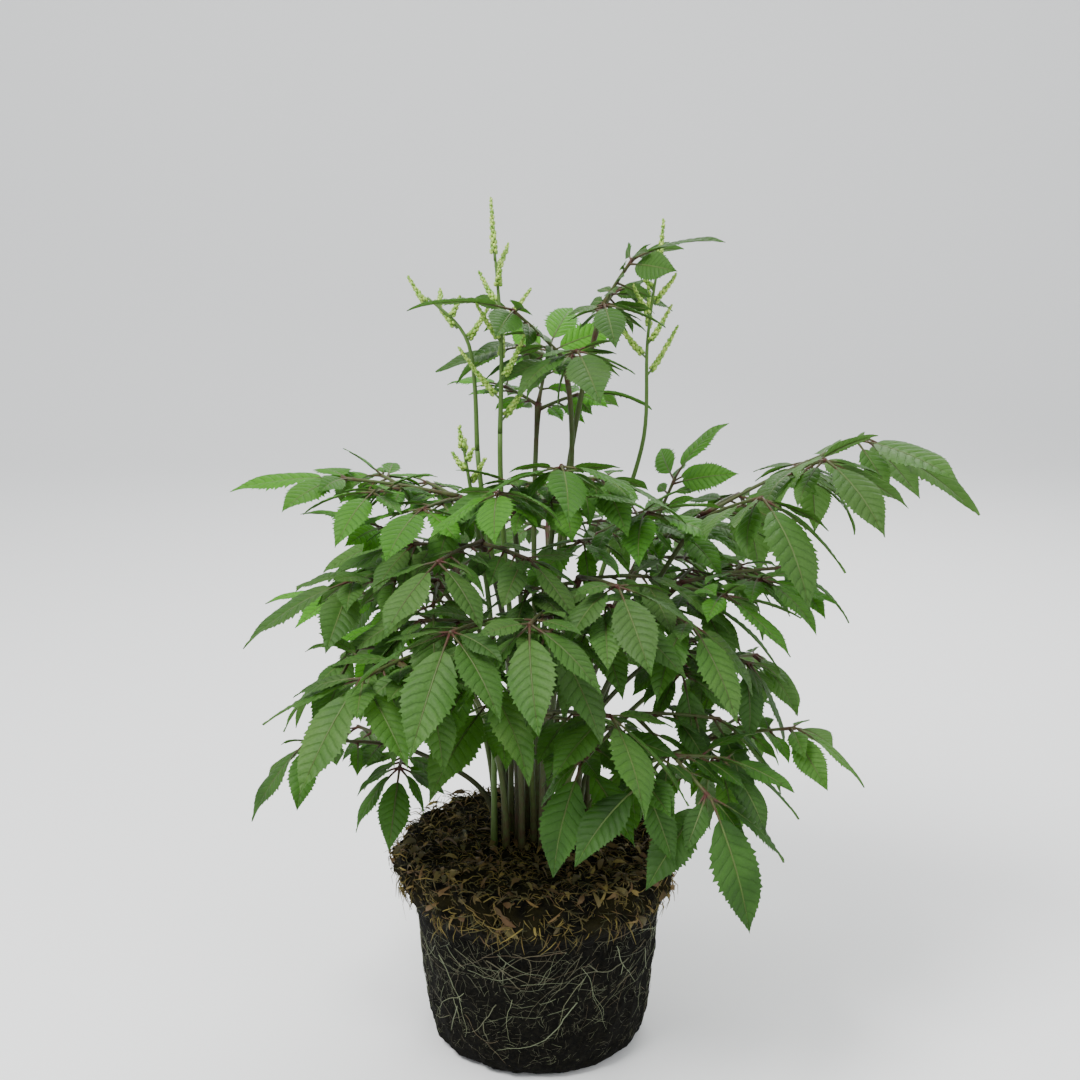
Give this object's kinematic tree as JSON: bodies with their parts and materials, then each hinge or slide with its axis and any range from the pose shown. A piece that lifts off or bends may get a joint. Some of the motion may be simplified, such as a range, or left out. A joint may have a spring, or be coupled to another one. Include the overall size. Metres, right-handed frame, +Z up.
{
  "type": "astilbe plant",
  "caption": "Bushy garden perennial lifted from its pot: divided toothed leaves on thin stalks and budding flower spikes over a bare pot-shaped root ball.",
  "frame": {"origin": "middle of the root ball's flat base, where the plant stands on the ground", "axes": "+Z up along the stalks, -Y towards the side that the picture shows, +X to the right as the picture shows it"},
  "size_m": [0.4124, 0.3723, 0.4815],
  "materials": {
    "soil": "damp dark compost bound by fine pale roots, with olive-gold moss and straw over its top and rim",
    "leaf": "matt mid-green toothed leaves with sunken veins, on olive to reddish-brown stalks",
    "bud": "yellow-green clustered buds on slim green stems"
  },
  "bodies": {
    "root": {"flower_stem_far_left": "bud", "flower_stem_front": "bud", "flower_stem_left": "bud", "flower_stem_right": "bud", "frond_back": "leaf", "frond_back_left": "leaf", "frond_back_low": "leaf", "frond_back_right": "leaf", "frond_behind_top": "leaf", "frond_centre": "leaf", "frond_centre_right": "leaf", "frond_front": "leaf", "frond_front_left": "leaf", "frond_front_low_right": "leaf", "frond_front_middle": "leaf", "frond_inner_high": "leaf", "frond_left_behind": "leaf", "frond_left_middle": "leaf", "frond_left_wide": "leaf", "frond_left_young": "leaf", "frond_low_left": "leaf", "frond_low_right": "leaf", "frond_right_back_low": "leaf", "frond_right_high": "leaf", "frond_right_lower": "leaf", "frond_right_middle": "leaf", "frond_right_top": "leaf", "frond_top_centre": "leaf", "frond_top_front": "leaf", "frond_top_left": "leaf", "frond_top_right": "leaf", "frond_upper_front_left": "leaf", "frond_upper_left": "leaf", "root_ball": "soil"}
  },
  "joints": []
}
